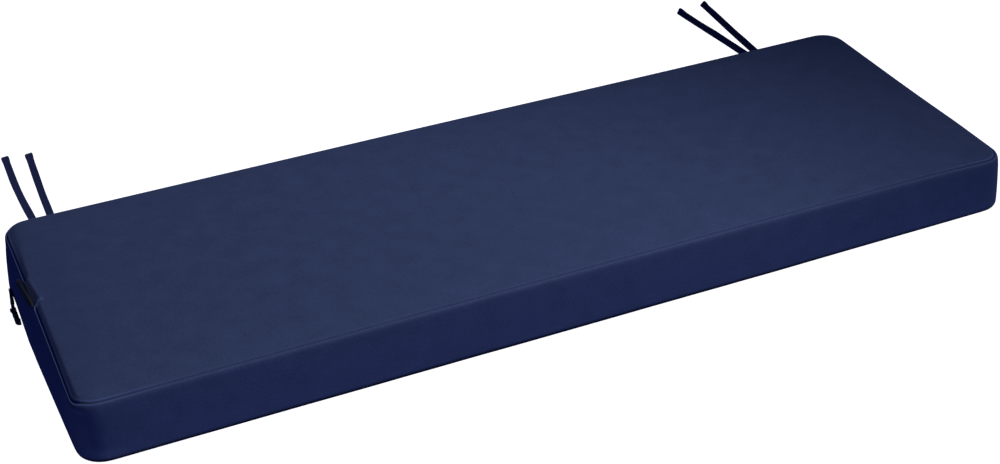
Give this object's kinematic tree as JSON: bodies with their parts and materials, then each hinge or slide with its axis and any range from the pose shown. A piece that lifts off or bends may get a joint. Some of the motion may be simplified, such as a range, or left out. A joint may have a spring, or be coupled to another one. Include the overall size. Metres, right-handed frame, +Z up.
{
  "type": "bench cushion",
  "caption": "Long, flat boxed bench cushion with a softly crowned top, sewn edge seams, fabric tie tails along the back and a short webbing handle and buckled strap at one end.",
  "frame": {"origin": "middle of the flat underside", "axes": "+X along the length, with the handle and buckle at the -X end; +Y across the seat to the back, where the ties are; +Z up through the thickness"},
  "size_m": [1.239, 0.7541, 0.0898],
  "materials": {
    "cover_fabric": "fine matt plain weave, navy",
    "tie_fabric": "the cover's fabric folded flat and stitched, darker navy",
    "webbing": "ribbed black webbing",
    "buckle_plastic": "moulded, lightly satin, black"
  },
  "bodies": {
    "root": {"cushion": "cover_fabric", "carry_handle": "webbing", "strap_back": "webbing", "strap_front": "webbing", "buckle_socket": "buckle_plastic", "buckle_plug": "buckle_plastic", "tie_left_outer": "tie_fabric", "tie_left_inner": "tie_fabric", "tie_right_inner": "tie_fabric", "tie_right_outer": "tie_fabric"}
  },
  "joints": []
}
